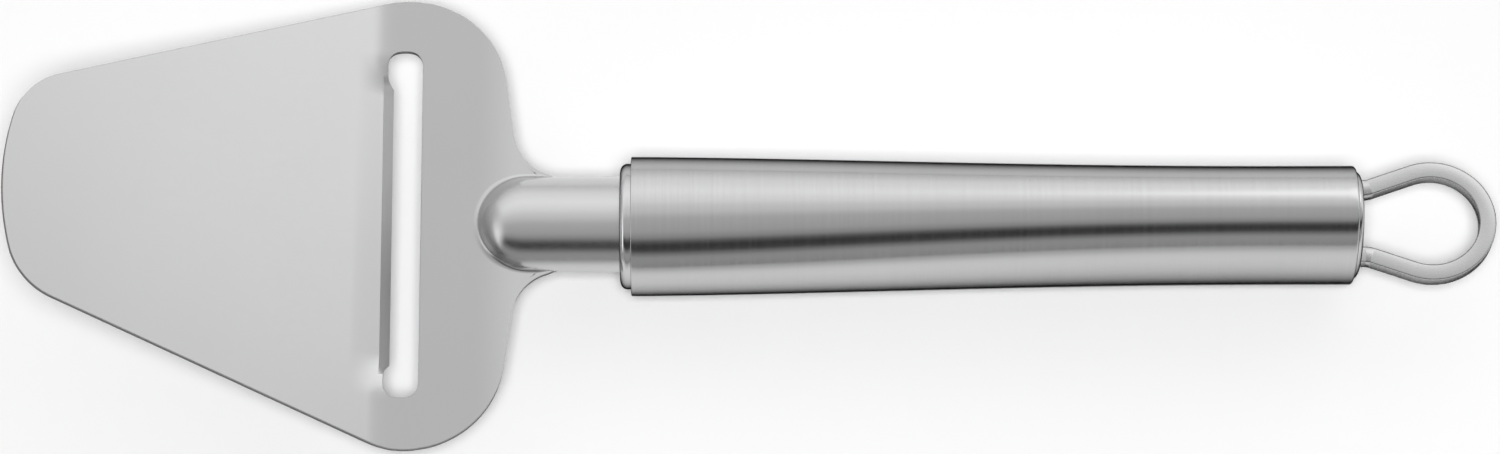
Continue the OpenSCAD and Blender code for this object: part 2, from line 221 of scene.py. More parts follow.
bladeSteel = steel("bladeSatin", {
    # painted highlight: the neck is brighter than the plates of the same sheet
    "colour": (0.485, 0.485, 0.488), "neckPaintedFrom": (-0.046, -0.038), "neckPaintedLight": 1.18,
    "rough": (0.2, 0.26), "strokes": (900.0, 2600.0, 900.0), "bump": 0.05, "lineTone": 0.03,
    "cloudTone": 0.03, "cloudScale": 60.0, "hairline": 0.02, "stretch": 0.0, "grazing": 1.0})
groundSteel = steel("groundBevel", {
    "colour": (0.53, 0.53, 0.533),
    "rough": (0.42, 0.5), "strokes": (500.0, 7000.0, 500.0), "bump": 0.1, "lineTone": 0.08,
    "cloudTone": 0.04, "cloudScale": 80.0, "hairline": 0.0, "stretch": 0.0, "grazing": 0.6})
# dark cut walls: partly the rougher, darker sheared metal, and partly painted shade standing in for
# the walls' own shadow
shearedAndShadedSteel = steel("shearedAndShadedEdge", {
    "colour": (0.2, 0.2, 0.203),
    "rough": (0.4, 0.5), "strokes": (1500.0, 1500.0, 300.0), "bump": 0.1, "lineTone": 0.1,
    "cloudTone": 0.05, "cloudScale": 120.0, "hairline": 0.0, "stretch": 0.0, "grazing": 0.5})
# its grazing of 0 is painted shade: the handle's outlines mirror darker than the floor around them
handleSteel = steel("handleBrushed", {
    "colour": (0.55, 0.55, 0.553),
    "rough": (0.16, 0.25), "strokes": (5200.0, 60.0, 60.0), "bump": 0.14, "lineTone": 0.13,
    "cloudTone": 0.05, "cloudScale": 45.0, "hairline": 0.02, "grazing": 0.0,
    "stretch": 0.6, "turnAxis": "X", "turn": 0.25})
capSteel = steel("capPolished", {
    "colour": (0.58, 0.58, 0.583),
    "rough": (0.1, 0.16), "strokes": (3000.0, 80.0, 80.0), "bump": 0.04, "lineTone": 0.03,
    "cloudTone": 0.03, "cloudScale": 90.0, "hairline": 0.01, "stretch": 0.0, "grazing": 0.0})
loopSteel = steel("loopBrushed", {
    "colour": (0.52, 0.52, 0.523),
    "rough": (0.22, 0.32), "strokes": (700.0, 6500.0, 700.0), "bump": 0.06, "lineTone": 0.1,
    "cloudTone": 0.03, "cloudScale": 120.0, "hairline": 0.02, "stretch": 0.0, "grazing": 0.0})
print("steels ready")


# blade: one sheet with a fold, a slot with a ground lip, and a raised half-round neck

blade = {
    "sheet": 1.0, "edgeRound": 0.12,
    # outline
    "width": 76.2, "frontL": 63.6, "sideAngle": 19.2,
    "bowR": 41.0, "cornerR": 11.2, "earR": 16.0,    # the tip's bow and corners, the widest corners
    "shoulderL": 23.0, "shoulderAngle": 8.0, "filletR": 7.8,
    # fold
    "foldAngle": 21.7, "foldR": 15.0, "rise": 1.55, # rise: rear plate over the handle's axis
    # slot and lip
    "slotL": 58.8, "slotD": 5.8, "slotBack": 5.95, "slotGap": 4.65,
    "slotPower": 2.5,                               # 2 would be half circles at the slot's ends
    "lipL": 46.8, "lipDepth": 7.0, "lipAngle": 7.0, "lipKnee": 1.8,
    "lipRunIn": 1.5, "lipRunOut": 1.2,              # where the lip's ends rise to the plate again
    "bevelW": 2.0, "edgeT": 0.15,
    # neck
    "neckR": 8.6, "neckDrop": 1.5, "neckWrap": 142.0, "neckL": 17.0, "tangL": 11.9,
    "footR": 1.2, "noseFootR": 2.0,                 # fillet at the neck's foot, wider at its nose
    "noseReach": 1.2, "leastFootR": 0.02,
    "sinkL": 6.0, "fadeL": 4.5,                     # where the plate narrows down to the neck
    # mesh rows from the tip to the tang
    "tipRows": 20, "frontRows": 9, "lipRows": 18, "slotRows": 12, "gapRows": 5, "noseRows": 30,
    "shoulderRows": 10, "filletRows": 22, "tangRows": 8,
    "noseFrom": 4.0,                                # angle of the first nose row
    "gapShare": 0.075, "noseShare": 0.33,           # where those rows end on the widest corner
    "shoulderMid": 0.8, "filletPower": 2.2, "rowBow": 0.25,
    # mesh lines from the middle to the outline
    "neckLines": 26, "lipLines": 9, "lipEndLines": 4, "notchLines": 8, "sideLines": 4,
    "roundLines": 8, "edgeLines": 9, "lipEndW": 3.0, "keepW": 3.5,
    "tipFoot": 0.75, "neckFoot": 0.8}               # most of a narrow row that neck lines take

tiny = 1e-6


def ease(t):
    t = np.clip(t, 0.0, 1.0)
    return t * t * (3 - 2 * t)


class BladeShape:
    # u runs along the sheet from the middle of the fold to the tip, y across it
    def __init__(self, d):
        self.d = d
        self.half = math.radians(d["foldAngle"]) / 2
        self.arc = d["foldR"] * self.half
        self.tan = d["foldR"] * math.tan(self.half)
        self.midX = -d["neckL"] - d["shoulderL"]
        self.foldX = self.midX + self.arc - self.tan
        # neck
        self.midR = d["neckR"] - d["sheet"] / 2
        self.over = d["rise"] + d["neckDrop"]
        self.neckHalf = self.midR * sinD(d["neckWrap"] / 2)
        self.neckSink = self.over - self.midR * cosD(d["neckWrap"] / 2)
        self.tuck = d["sheet"] / 2 * sinD(d["neckWrap"] / 2)
        noseR = d["noseFootR"]
        self.footOut = math.sqrt((self.midR + noseR) ** 2 - (self.over + noseR) ** 2)
        # outline circles
        sideN = (sinD(d["sideAngle"]), cosD(d["sideAngle"]))
        earV = d["width"] / 2 - d["earR"]
        lean = d["shoulderAngle"]
        self.earC = (-d["shoulderL"] + (d["earR"] + sinD(lean) * earV) / cosD(lean), earV)
        self.sideD = sideN[0] * self.earC[0] + sideN[1] * self.earC[1] + d["earR"]
        self.sideN = sideN
        bowC = (d["frontL"] - d["bowR"], 0.0)
        reach = d["bowR"] - d["cornerR"]
        self.cornerTo = 90 - d["sideAngle"]
        self.cornerFrom = self.cornerTo - math.degrees(math.acos(
            (self.sideD - d["cornerR"] - sideN[0] * bowC[0]) / reach))
        self.cornerC = onCircle(bowC, reach, self.cornerFrom)
        neckV = self.neckHalf + self.tuck + d["filletR"]
        self.neckC = (-d["shoulderL"] - (d["filletR"] - sinD(lean) * neckV) / cosD(lean), neckV)
        # slot and lip
        self.slotR = d["slotD"] / 2
        self.slotU = self.slotR - d["slotBack"]
        self.slotY = d["slotL"] / 2 - self.slotR
        self.edgeU = d["slotGap"] - d["slotBack"]
        self.notchY = (d["lipL"] / 2 + self.slotY * 2) / 3
        self.lipSlope = tanD(d["foldAngle"] + d["lipAngle"]) - tanD(d["foldAngle"])

    def slotReach(self, y):
        # half the slot's width at y: its ends are a little squarer than a half circle
        power = self.d["slotPower"]
        share = min(1.0, max(0.0, (y - self.slotY) / self.slotR))
        return self.slotR * (1 - share ** power) ** (1 / power)

    def slotSide(self, angle):
        return self.slotR * sinD(angle) ** (2 / self.d["slotPower"])

    def plate(self, u):
        d = self.d
        turn = u / d["foldR"] + self.half
        run = self.tan + u - self.arc
        rear, front = u < -self.arc, u > self.arc
        x = np.where(rear, self.midX - u, np.where(
            front, self.foldX - run * cosD(d["foldAngle"]),
            self.foldX + self.tan - d["foldR"] * np.sin(turn)))
        z = np.where(rear, 0.0, np.where(
            front, run * sinD(d["foldAngle"]), d["foldR"] * (1 - np.cos(turn))))
        return x, z + d["rise"]

    def raised(self, dist, sink, r):
        # the neck over the plate, dist from its axis or its nose's centre, with r at its foot
        rise = self.over - sink
        out = np.sqrt((self.midR + r) ** 2 - (rise + r) ** 2)
        crest = self.midR / (self.midR + r) * out
        foot = r - np.sqrt(np.maximum(0, r ** 2 - (out - dist) ** 2)) - sink
        ball = np.sqrt(np.maximum(0, self.midR ** 2 - dist ** 2)) - self.over
        return np.where(dist >= out, -sink, np.where(dist >= crest, foot, ball))

    def middle(self, u, y):
        d = self.d
        before = np.maximum(0, u + d["shoulderL"])
        dist = np.hypot(y, before)
        fadeFrom = self.neckC[0] + d["fadeL"]
        sink = self.neckSink * ease((fadeFrom + d["sinkL"] - u) / d["sinkL"])
        ahead = before / np.maximum(tiny, dist)
        r = d["footR"] + (d["noseFootR"] - d["footR"]) * ease(ahead * d["noseReach"])
        r = np.maximum(d["leastFootR"], r * (1 - ease((fadeFrom - u) / d["fadeL"])))
        neck = np.where(u > 0, 0.0, self.raised(dist, sink, r))
        x, z = self.plate(u)
        # the lip goes straight on where the plate folds, and turns down by its own angle
        run = self.edgeU + d["lipDepth"] - u
        straight = z - d["rise"] - (self.foldX - x) * tanD(d["foldAngle"])
        knee = run * run / np.maximum(tiny, run + d["lipKnee"])
        turned = np.where(run <= 0, 0.0, self.lipSlope * knee)
        drop = (straight + turned) * (1 - ease((self.edgeU - u) / d["slotGap"]))
        beyond = np.abs(y) - d["lipL"] / 2 + d["lipRunIn"]
        share = 1 - ease(beyond / (d["slotL"] / 2 - d["lipL"] / 2 + d["lipRunOut"]))
        z = z + neck - share * np.where(u > -d["slotBack"], drop, 0.0)
        return np.stack([x, y, z], -1)

    def normal(self, u, y, step=0.02):
        along = self.middle(u + step, y) - self.middle(u - step, y)
        across = self.middle(u, y + step) - self.middle(u, y - step)
        n = np.cross(across, along)
        n /= np.linalg.norm(n, axis=-1, keepdims=True)
        return n * np.sign(n[..., 2:3])

    def slotFront(self, y):
        # cutting edge, notch beside it, straight side, round end
        half = self.d["lipL"] / 2
        sideU = self.slotU + self.slotR
        if y <= half:
            return self.edgeU
        if y < self.notchY:
            return self.edgeU + (sideU - self.edgeU) * sinD(90 * (y - half) / (self.notchY - half))
        if y < self.slotY:
            return sideU
        return self.slotU + self.slotReach(y)

    def slotRear(self, y):
        return self.slotU - self.slotReach(y)

    def halfWidth(self, u):
        # half the plate's width between the tip's corners and the widest corners
        if u > self.earC[0] + self.d["earR"] * self.sideN[0]:
            return (self.sideD - u * self.sideN[0]) / self.sideN[1]
        return self.earC[1] + math.sqrt(self.d["earR"] ** 2 - (u - self.earC[0]) ** 2)


def bladeRows(s):
    # each row: (u at the middle, u at the outline, half width, neck's foot, kind)
    d = s.d
    rows = []
    base = onCircle(s.cornerC, d["cornerR"], s.cornerFrom)[0]
    for k in range(d["tipRows"] + 1):
        angle = s.cornerFrom + (s.cornerTo - s.cornerFrom) * k / d["tipRows"]
        p = onCircle(s.cornerC, d["cornerR"], angle)
        sag = (d["frontL"] - base) * (1 - k / d["tipRows"])
        rows.append((p[0] + sag, p[0], p[1], min(s.footOut, d["tipFoot"] * p[1]), "tip"))

    # front plate and lip, as far as the bevel
    lastTip = rows[-1][1]
    lipFrom = s.edgeU + d["lipDepth"] + d["lipKnee"]
    bevelFrom = s.edgeU + d["bevelW"]
    plain = [lastTip + (lipFrom - lastTip) * k / d["frontRows"] for k in range(1, d["frontRows"])]
    plain += [lipFrom + (bevelFrom - lipFrom) * k / d["lipRows"] for k in range(d["lipRows"] + 1)]
    for u in plain:
        rows.append((u, u, s.halfWidth(u), s.footOut, "plain"))

    # slot: its first and last row are its two sides
    firstSlot = len(rows)
    for k in range(d["slotRows"] + 1):
        angle = 45 + 90 * k / d["slotRows"]
        reach = s.slotReach(s.slotY + s.slotSide(angle))
        u = s.slotU + math.copysign(reach, cosD(angle))
        rows.append((u, u, s.halfWidth(u), s.footOut, ("slot", k / d["slotRows"])))
    lastSlot = len(rows) - 1

    # between slot and neck, then round the neck's nose
    earFrom = math.degrees(math.acos((-d["slotBack"] - s.earC[0]) / d["earR"]))
    earTo = 180 - d["shoulderAngle"]

    def earRow(mid, foot, t):
        p = onCircle(s.earC, d["earR"], earFrom + (earTo - earFrom) * t)
        rows.append((mid, p[0], p[1], foot, "plain"))

    gap = s.footOut - d["shoulderL"] + d["slotBack"]
    for k in range(1, d["gapRows"]):
        earRow(gap * k / d["gapRows"] - d["slotBack"], s.footOut * (1 - k / d["gapRows"]),
               d["gapShare"] * k)
    for k in range(d["noseRows"]):
        t = k / (d["noseRows"] - 1)
        angle = d["noseFrom"] + (90 - d["noseFrom"]) * t
        earRow(-d["shoulderL"] + s.footOut * cosD(angle), s.footOut * sinD(angle),
               d["noseShare"] + (1 - d["noseShare"]) * t)

    # shoulder, fillet, neck and tang
    earEnd = rows[-1][1:3]
    filletStart = onCircle(s.neckC, d["filletR"], -d["shoulderAngle"])
    for k in range(1, d["shoulderRows"]):
        t = k / d["shoulderRows"]
        p = [a + (b - a) * t for a, b in zip(earEnd, filletStart)]
        rows.append((-d["shoulderL"] - d["shoulderMid"] * t, p[0], p[1], s.footOut, "plain"))
    lateMid = -d["shoulderL"] - d["shoulderMid"]
    for k in range(d["filletRows"] + 1):
        t = k / d["filletRows"]
        p = onCircle(s.neckC, d["filletR"], -d["shoulderAngle"] - (90 - d["shoulderAngle"]) * t)
        mid = lateMid + (s.neckC[0] - lateMid) * t ** d["filletPower"]
        tucked = ease((s.neckC[0] + d["fadeL"] / 2 - p[0]) * 2 / d["fadeL"])
        w = p[1] - s.tuck * float(tucked)
        rows.append((mid, p[0], w, min(s.footOut, d["neckFoot"] * w), "plain"))
    endU = s.midX - d["tangL"]
    for k in range(1, d["tangRows"] + 1):
        u = s.neckC[0] + (endU - s.neckC[0]) * k / d["tangRows"]
        rows.append((u, u, s.neckHalf, d["neckFoot"] * s.neckHalf, "plain"))
    return rows, firstSlot, lastSlot


def beside(edge, inward, gap):
    # points close beside an edge, towards the next line
    step = inward - edge
    length = np.linalg.norm(step, axis=-1, keepdims=True)
    return edge + step * np.minimum(0.5, gap / np.maximum(tiny, length))


def bladeNet(s):
    # half of the sheet: rows from the tip, lines from the middle to the outline, points as (u, y)
    d = s.d
    rows, firstSlot, lastSlot = bladeRows(s)
    inner, half = d["neckLines"], d["lipL"] / 2
    marks = (s.footOut, half - d["lipEndW"], half, s.notchY, s.slotY)
    counts = (d["lipLines"], d["lipEndLines"], d["notchLines"], d["sideLines"])
    outer = []
    for a, b, count in zip(marks, marks[1:], counts):
        outer += list(np.linspace(a, b, count + 1)[1:])
    outer += [s.slotY + s.slotSide(45 * k / d["roundLines"]) for k in range(1, d["roundLines"] + 1)]
    notchLine = inner + sum(counts[:3])
    slotLine = inner + len(outer)
    lastLine = slotLine + d["edgeLines"]
    keepW = d["slotL"] / 2 + d["keepW"]

    def lineY(row, j):
        mid, out, w, foot, kind = row
        if j <= inner:
            return foot * sinD(90 * j / inner)
        shrink = min(1, (w - foot) / (keepW - s.footOut))
        if j < slotLine:
            return foot + (outer[j - inner - 1] - s.footOut) * shrink
        held = foot + (outer[-1] - s.footOut) * shrink
        if isinstance(kind, tuple):
            held = s.slotY + s.slotSide(45 + 90 * kind[1])
        return held + (w - held) * (j - slotLine) / d["edgeLines"]

    def lineU(row, j, y):
        mid, out, w, foot, kind = row
        if kind == "tip":
            return out + (mid - out) * (1 - (y / w) ** 2)
        if isinstance(kind, tuple) and j < slotLine and kind[1] in (0, 1):
            return s.slotFront(y) if kind[1] == 0 else s.slotRear(y)
        if j <= inner:
            return mid
        # beside the neck the rows bow towards the tip, to stay inside the hollow outline
        t = (y - foot) / (w - foot)
        spread = s.footOut if mid > -d["shoulderL"] else -d["shoulderL"] - s.neckC[0]
        bow = d["rowBow"] * (w - foot) * max(0, 1 - abs(mid + d["shoulderL"]) / spread)
        return mid + (out - mid) * t + bow * 4 * t * (1 - t)

    net = np.array([[(lineU(row, j, lineY(row, j)), lineY(row, j)) for j in range(lastLine + 1)]
                    for row in rows])

    # one more line close beside each free edge, from which the edge rounds over
    gap = d["edgeRound"]
    net = np.insert(net, -1, beside(net[:, -1], net[:, -2], gap), axis=1)
    net = np.insert(net, slotLine + 1, beside(net[:, slotLine], net[:, slotLine + 1], gap), axis=1)
    net = np.insert(net, lastSlot + 1, beside(net[lastSlot], net[lastSlot + 1], gap), axis=0)
    net = np.insert(net, firstSlot, beside(net[firstSlot], net[firstSlot - 1], gap), axis=0)
    net = np.insert(net, 1, beside(net[0], net[1], gap), axis=0)
    return net, {"firstSlot": firstSlot + 2, "lastSlot": lastSlot + 2, "slotLine": slotLine,
                 "notchLine": notchLine}


def bothHalves(half):
    return np.concatenate([half[:, :0:-1] * np.array([1, -1, 1]), half], 1)


def sheetSides(s, net, marks):
    # upper and lower face of the sheet, and its own direction at each point
    d, u, y = s.d, net[..., 0], net[..., 1]
    first, last, slotLine = marks["firstSlot"], marks["lastSlot"], marks["slotLine"]
    mid, n = s.middle(u, y), s.normal(u, y)
    free = np.zeros(u.shape, bool)
    free[0, :] = True
    free[:, -1] = True
    free[first, :slotLine + 1] = True
    free[last, :slotLine + 1] = True
    free[first:last + 1, slotLine] = True
    # the ground bevel takes metal from the top of the lip
    half = d["lipL"] / 2
    lip = 1 - ease((y - half) / (s.notchY - half))
    near = np.zeros(u.shape)
    near[first], near[first - 1] = 1.0, 1 - d["edgeRound"] / d["bevelW"]
    ground = near * (d["sheet"] - d["edgeT"]) * lip
    rounded = np.where(free, d["edgeRound"], 0.0)
    rounded[first] *= 1 - lip[first]
    top = mid + n * (d["sheet"] / 2 - rounded - ground)[..., None]
    low = mid - n * (d["sheet"] / 2 - rounded)[..., None]
    return bothHalves(top), bothHalves(low), bothHalves(n)


def sheetFaces(rowCount, last, marks):
    # both faces and the cut walls, with the numbers of the bevel's faces and of the walls
    firstSlot, lastSlot, slotLine = marks["firstSlot"], marks["lastSlot"], marks["slotLine"]
    faces, groundFaces, cutFaces = [], [], []

    def top(i, j):
        return i * (2 * last + 1) + j + last

    def low(i, j):
        return rowCount * (2 * last + 1) + top(i, j)

    def wall(i, j, i2, j2):
        cutFaces.append(len(faces))
        faces.append((top(i, j), low(i, j), low(i2, j2), top(i2, j2)))

    for i in range(rowCount - 1):
        for j in range(-last, last):
            if firstSlot <= i < lastSlot and -slotLine <= j < slotLine:
                continue
            if firstSlot - 2 <= i < firstSlot and abs(2 * j + 1) / 2 < marks["notchLine"]:
                groundFaces.append(len(faces))
            faces.append((top(i, j), top(i + 1, j), top(i + 1, j + 1), top(i, j + 1)))
            faces.append((low(i, j), low(i, j + 1), low(i + 1, j + 1), low(i + 1, j)))
    for j in range(-last, last):
        wall(0, j + 1, 0, j)
        wall(rowCount - 1, j, rowCount - 1, j + 1)
    for i in range(rowCount - 1):
        wall(i, -last, i + 1, -last)
        wall(i + 1, last, i, last)
    for j in range(-slotLine, slotLine):
        wall(firstSlot, j, firstSlot, j + 1)
        wall(lastSlot, j + 1, lastSlot, j)
    for i in range(firstSlot, lastSlot):
        wall(i + 1, -slotLine, i, -slotLine)
        wall(i, slotLine, i + 1, slotLine)
    return faces, groundFaces, cutFaces


def shadeSheet(mesh, sheetN, groundFaces, cutFaces):
    # the sheet keeps its own direction up to the rounded edges, and the bevel and walls have theirs
    def sumNormals(chosen):
        total = np.zeros(sheetN.shape)
        for index in chosen:
            for v in mesh.polygons[index].vertices:
                total[v] += mesh.polygons[index].normal
        return total

    groundN, cutN = sumNormals(groundFaces), sumNormals(cutFaces)
    onCut = np.abs(cutN).sum(1) > 0
    sheetN[onCut] = cutN[onCut]
    perCorner = []
    for face in mesh.polygons:
        kindN = (sheetN, groundN, cutN)[face.material_index]
        perCorner += [Vector(kindN[v]).normalized() for v in face.vertices]
    mesh.normals_split_custom_set(perCorner)


def buildBlade(d):
    s = BladeShape(d)
    net, marks = bladeNet(s)
    top, low, n = sheetSides(s, net, marks)
    faces, groundFaces, cutFaces = sheetFaces(net.shape[0], net.shape[1] - 1, marks)
    points = np.concatenate([top.reshape(-1, 3), low.reshape(-1, 3)])
    obj = solidObject("slicerBlade", [tuple(p) for p in points], faces)
    for material in (bladeSteel, groundSteel, shearedAndShadedSteel):
        obj.data.materials.append(material)
    for slot, chosen in ((1, groundFaces), (2, cutFaces)):
        for index in chosen:
            obj.data.polygons[index].material_index = slot
    sheetN = np.concatenate([n.reshape(-1, 3), -n.reshape(-1, 3)])
    shadeSheet(obj.data, sheetN, groundFaces, cutFaces)
    return obj


slicerBlade = buildBlade(blade)
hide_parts("slicer_blade")
print("blade:", len(slicerBlade.data.polygons), "faces")


# handle tube: a wall section is turned round the axis, then pressed from round to oval

tube = {
    "length": 116.9, "frontD": 22.6, "buttW": 18.4, "pressL": 106.0, "pressPower": 1.5,
    "wall": 0.8, "frontRim": 0.2, "rearRim": 0.45,
    "around": 176, "along": 100, "alongInside": 20, "rimStep": 15}


def curveObject(name, points, cyclic):
    data = bpy.data.curves.new(name, "CURVE")
    data.dimensions = "3D"
    line = data.splines.new("POLY")
    line.points.add(len(points) - 1)
    for k, p in enumerate(points):
        line.points[k].co = (p[0] * mm, p[1] * mm, p[2] * mm, 1.0)
    line.use_cyclic_u = cyclic
    return linkObject(name, data)


def newTree(name, sizes):
    # sizes: each input's name and kind
    tree = bpy.data.node_groups.new(name, "GeometryNodeTree")
    sides = tree.interface
    sides.new_socket(name="Geometry", in_out="INPUT", socket_type="NodeSocketGeometry")
    for label, kind in sizes.items():
        sides.new_socket(name=label, in_out="INPUT", socket_type="NodeSocket" + kind)
    sides.new_socket(name="Geometry", in_out="OUTPUT", socket_type="NodeSocketGeometry")
    return tree, tree.nodes.new("NodeGroupInput").outputs, tree.nodes.new("NodeGroupOutput").inputs


def runTree(obj, tree, values, name):
    live = obj.modifiers.new(tree.name, "NODES")
    live.node_group = tree
    for item in tree.interface.items_tree:
        if item.in_out == "INPUT" and item.name in values:
            live[item.identifier] = values[item.name]
    return bakeModifiers(obj, name)


def finishTree(tree, geometry, material, out):
    smooth = addNode(tree, "GeometryNodeSetShadeSmooth", {}, {"Geometry": geometry})
    plain = addNode(tree, "GeometryNodeRealizeInstances", {}, {"Geometry": smooth.outputs[0]})
    painted = addNode(tree, "GeometryNodeSetMaterial", {}, {
        "Geometry": plain.outputs[0], "Material": material})
    tree.links.new(painted.outputs[0], out[0])


def pressedTubeTree():
    tree, given, out = newTree("pressedTube", {
        "frontRadius": "Float", "buttRadius": "Float", "pressLength": "Float",
        "pressPower": "Float", "aroundCount": "Int", "steel": "Material"})

    def op(operation, *values):
        return calc(tree, operation, *values)

    frontR, buttR = given["frontRadius"], given["buttRadius"]
    ring = addNode(tree, "GeometryNodeCurvePrimitiveCircle", {}, {
        "Resolution": given["aroundCount"], "Radius": frontR})
    turned = addNode(tree, "GeometryNodeCurveToMesh", {}, {
        "Curve": ring.outputs[0], "Profile Curve": given["Geometry"]})
    place = addNode(tree, "GeometryNodeInputPosition").outputs[0]
    across, up, along = splitXYZ(tree, place)
    far = op("SQRT", op("ADD", op("MULTIPLY", across, across), op("MULTIPLY", up, up)))
    inset = op("SUBTRACT", frontR, far)
    part = op("MINIMUM", op("MAXIMUM", op("DIVIDE", along, given["pressLength"]), 0.0), 1.0)
    share = op("POWER", op("SINE", op("MULTIPLY", part, math.pi / 2)), given["pressPower"])
    # pressing keeps the girth: the squares of both radii add up to the same
    wide = op("MULTIPLY_ADD", op("SUBTRACT", buttR, frontR), share, frontR)
    girth = op("MULTIPLY", op("MULTIPLY", frontR, frontR), 2.0)
    tall = op("SQRT", op("SUBTRACT", girth, op("MULTIPLY", wide, wide)))
    y = op("MULTIPLY", op("SUBTRACT", wide, inset), op("DIVIDE", across, far))
    z = op("MULTIPLY", op("SUBTRACT", tall, inset), op("DIVIDE", up, far))
    shifted = addNode(tree, "ShaderNodeCombineXYZ", {}, {
        0: op("ADD", along, frontX * mm), 1: y, 2: op("ADD", z, axisZ * mm)})
    pressed = addNode(tree, "GeometryNodeSetPosition", {}, {
        "Geometry": turned.outputs[0], "Position": shifted.outputs[0]})
    finishTree(tree, pressed.outputs[0], given["steel"], out)
    return tree


def wallSection(d):
    # (along the handle, below the outer face)
    a, b, length = d["frontRim"], d["rearRim"], d["length"]
    quarter = range(0, 91, d["rimStep"])
    section = [(a - a * cosD(k), a - a * sinD(k)) for k in quarter]
    section += [(a + (length - b - a) * k / d["along"], 0.0) for k in range(1, d["along"])]
    section += [(length - b + b * sinD(k), b - b * cosD(k)) for k in quarter]
    inside = d["alongInside"]
    return section + [(length * k / inside, d["wall"]) for k in range(inside, -1, -1)]


section = [(-inset, -along, 0.0) for along, inset in wallSection(tube)]
handleTube = runTree(curveObject("wallSection", section, True), pressedTubeTree(), {
    "frontRadius": tube["frontD"] / 2 * mm, "buttRadius": tube["buttW"] / 2 * mm,
    "pressLength": tube["pressL"] * mm, "pressPower": tube["pressPower"],
    "aroundCount": tube["around"], "steel": handleSteel}, "handleTube")
handleTube = weightNormals(handleTube)
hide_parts("handle_tube")
print("tube:", len(handleTube.data.polygons), "faces")


# both caps: rings laid over each other

def ovalRing(x, a, b, count):
    return [(x, a * cosD(360 * k / count), b * sinD(360 * k / count)) for k in range(count)]


def ringSolid(name, rings, material):
    count = len(rings[0])
    points = [p for ring in rings for p in ring]
    faces = []
    for i in range(len(rings) - 1):
        for k in range(count):
            k2 = (k + 1) % count
            faces.append((i * count + k, i * count + k2, (i + 1) * count + k2, (i + 1) * count + k))
    for end, start in ((0, 0), (1, (len(rings) - 1) * count)):
        ring = points[start:start + count]
        points.append(tuple(sum(p[axis] for p in ring) / count for axis in range(3)))
        hub = len(points) - 1
        for k in range(count):
            fan = (hub, start + (k + 1) % count, start + k)
            faces.append(fan if end == 0 else tuple(reversed(fan)))
    obj = solidObject(name, points, faces)
    obj.data.materials.append(material)
    return weightNormals(obj)


frontCap = {
    "collarD": 20.4, "collarL": 1.8, "round": 1.2,
    "skirtD": 20.8, "skirtL": 5.0, "stepL": 0.3, "endW": 1.5,
    "faceShares": (0.25, 0.6), "faceRim": 0.4,          # mesh rings on the flat front
    "around": 144, "roundStep": 6}


def buildFrontCap(d):
    r, c, front, skirtR = d["collarD"] / 2, d["round"], -d["collarL"], d["skirtD"] / 2
    profile = [(front, share * r) for share in d["faceShares"]] + [(front, r - c - d["faceRim"])]
    profile += [(c + front - c * cosD(k), r - c + c * sinD(k))
                for k in range(0, 91, d["roundStep"])]
    profile += [(0.0, r), (d["stepL"], skirtR), (d["skirtL"], skirtR), (d["skirtL"], r - d["endW"])]
    rings = [ovalRing(x, q, q, d["around"]) for x, q in profile]
    return ringSolid("frontCap", rings, capSteel)


frontCapPiece = buildFrontCap(frontCap)
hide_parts("front_cap")

rearCap = {
    "out": 0.85, "dome": 1.0,
    "skirt": 0.9, "skirtL": 5.0,                        # skirt: from the tube's outer face inwards
    "seatL": 0.2, "endW": 1.2,
    "faceRings": (0.6, 4.0),                            # mesh rings on the flat rear
    "around": 144, "domeStep": 9}


def buildRearCap(d):
    a = tube["buttW"] / 2
    b = math.sqrt(2 * (tube["frontD"] / 2) ** 2 - a ** 2)
    end, inset = tube["length"], d["skirt"]
    profile = [(end - d["skirtL"], inset + d["endW"]), (end - d["skirtL"], inset)]
    profile += [(end - d["seatL"], inset)]
    profile += [(end + d["out"] * sinD(k), inset + d["dome"] * (1 - cosD(k)))
                for k in range(0, 91, d["domeStep"])]
    profile += [(end + d["out"], inset + d["dome"] + ring) for ring in d["faceRings"]]
    rings = [ovalRing(x, a - i, b - i, d["around"]) for x, i in profile]
    return ringSolid("rearCap", rings, capSteel)


rearCapPiece = buildRearCap(rearCap)
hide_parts("rear_cap")
print("caps done")


# hanging loop: a flat bar bent along its path

loop = {
    "endR": 8.4, "sideR": 9.4, "reach": 13.3, "barW": 2.7, "barH": 3.0, "edge": 0.3,
    "limbAngle": 19.2, "feetGap": 11.3, "footR": 3.5, "rise": 0.9, "footIn": 2.2,
    "endStep": 2.5, "sideSteps": 30, "footSteps": 10}


def loopPath(d):
    # half of the path from the middle of the rear end to a foot, then both halves
    limbAt = 90 + d["limbAngle"]
    sideX = (d["endR"] - d["sideR"]) * cosD(45)
    limb = onCircle((sideX, sideX), d["sideR"], limbAt)
    bendY = d["feetGap"] / 2 + d["footR"] * (1 - cosD(d["limbAngle"]))
    bendX = limb[0] - (limb[1] - bendY) / tanD(d["limbAngle"])
    bendC = (bendX - d["footR"] * sinD(d["limbAngle"]), bendY + d["footR"] * cosD(d["limbAngle"]))
    endTurn = np.arange(0, 45, d["endStep"])
    sideTurn = np.linspace(45, limbAt, d["sideSteps"])
    footTurn = np.linspace(limbAt, 90, d["footSteps"])
    half = [onCircle((0, 0), d["endR"], a) for a in endTurn]
    half += [onCircle((sideX, sideX), d["sideR"], a) for a in sideTurn]
    half += [onCircle(bendC, -d["footR"], a) for a in footTurn]
    half += [(-d["reach"] - d["footIn"], bendC[1] - d["footR"])]
    whole = half[:0:-1] + [(p[0], -p[1]) for p in half]
    startX = tube["length"] + d["reach"] + frontX
    return [(p[0] + startX, p[1], d["rise"] + axisZ) for p in whole]


